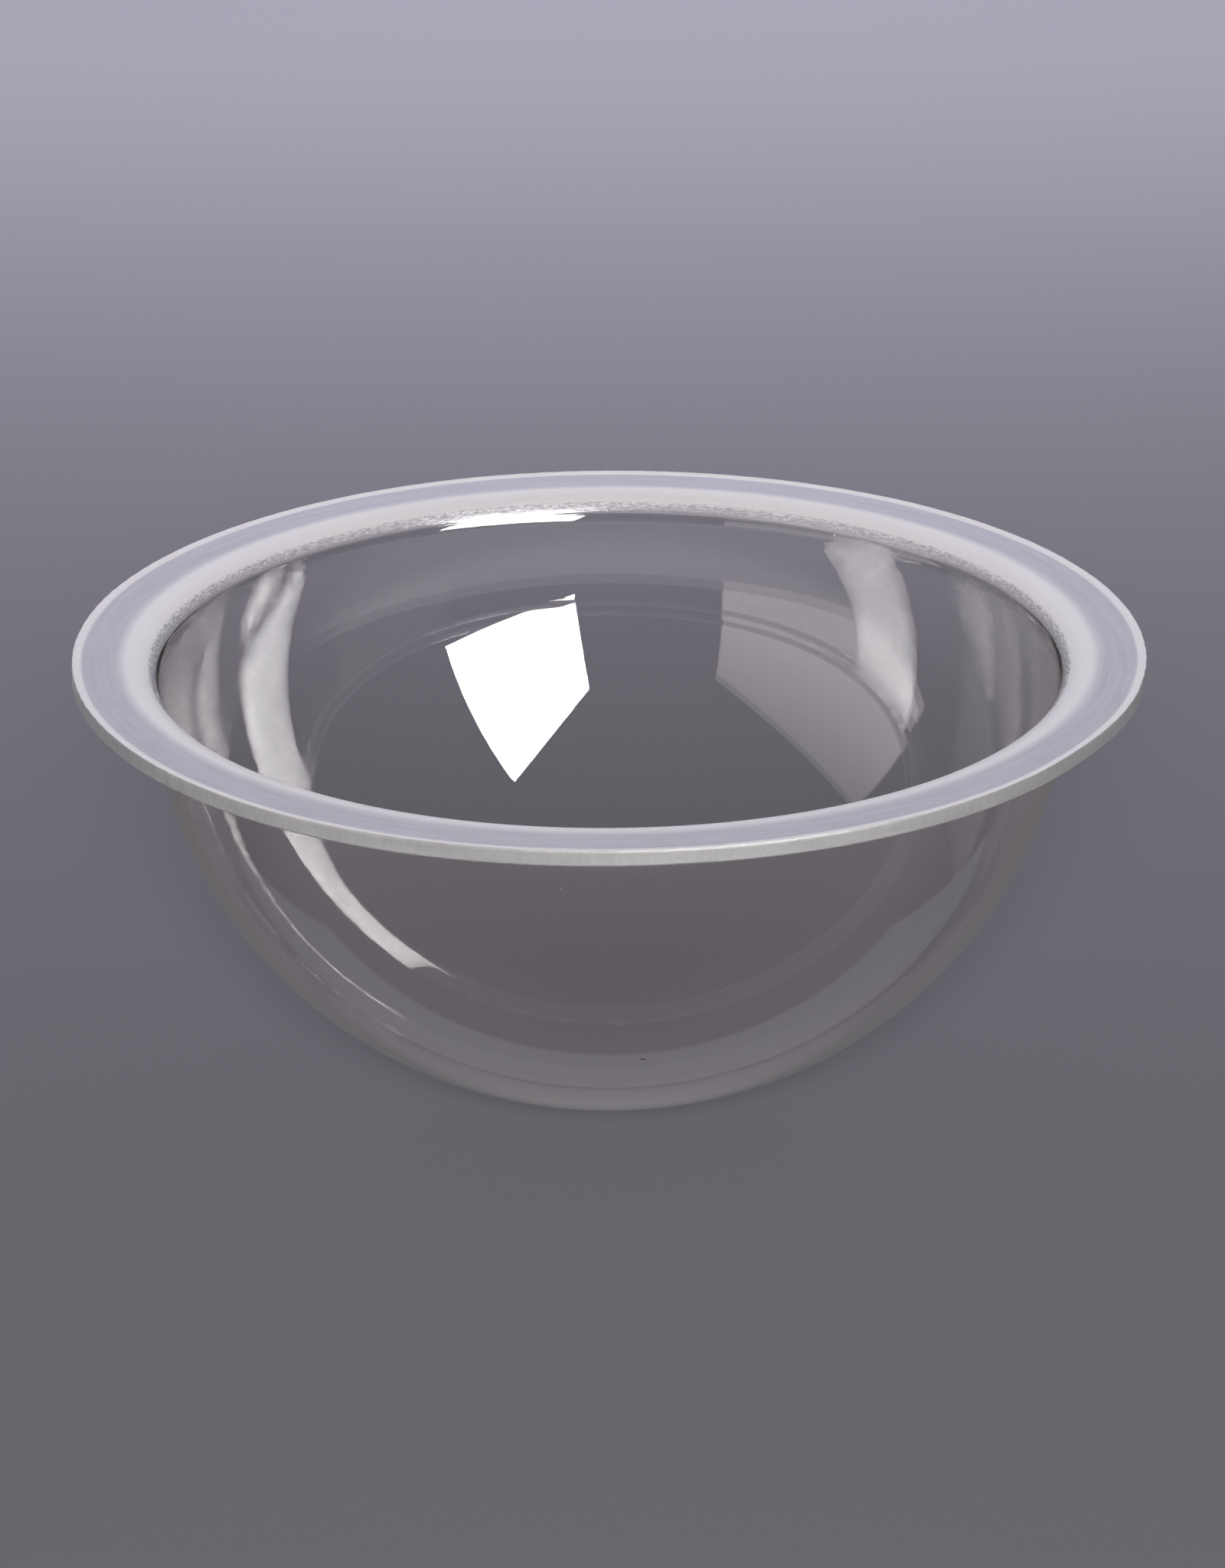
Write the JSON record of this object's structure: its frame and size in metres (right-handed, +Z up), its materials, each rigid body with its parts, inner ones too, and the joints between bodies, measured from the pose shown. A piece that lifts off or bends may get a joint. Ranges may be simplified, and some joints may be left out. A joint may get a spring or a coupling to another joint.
{
  "type": "crystallizing dish",
  "caption": "Clear acrylic round-bottomed dish with a wide flat flange, drawn from one sheet; opens upwards and hangs by its flange or rests on its bottom.",
  "frame": {"origin": "lowest point of the outside of the bowl, on the axis of symmetry", "axes": "+Z up along the axis of symmetry, out of the bowl's mouth; X and Y are alike"},
  "size_m": [0.22, 0.22, 0.0945],
  "materials": {
    "clear_acrylic": "clear and polished on the bowl, satin on the flange, rough where the edge is cut"
  },
  "bodies": {
    "root": {"flanged_bowl": "clear_acrylic"}
  },
  "joints": []
}
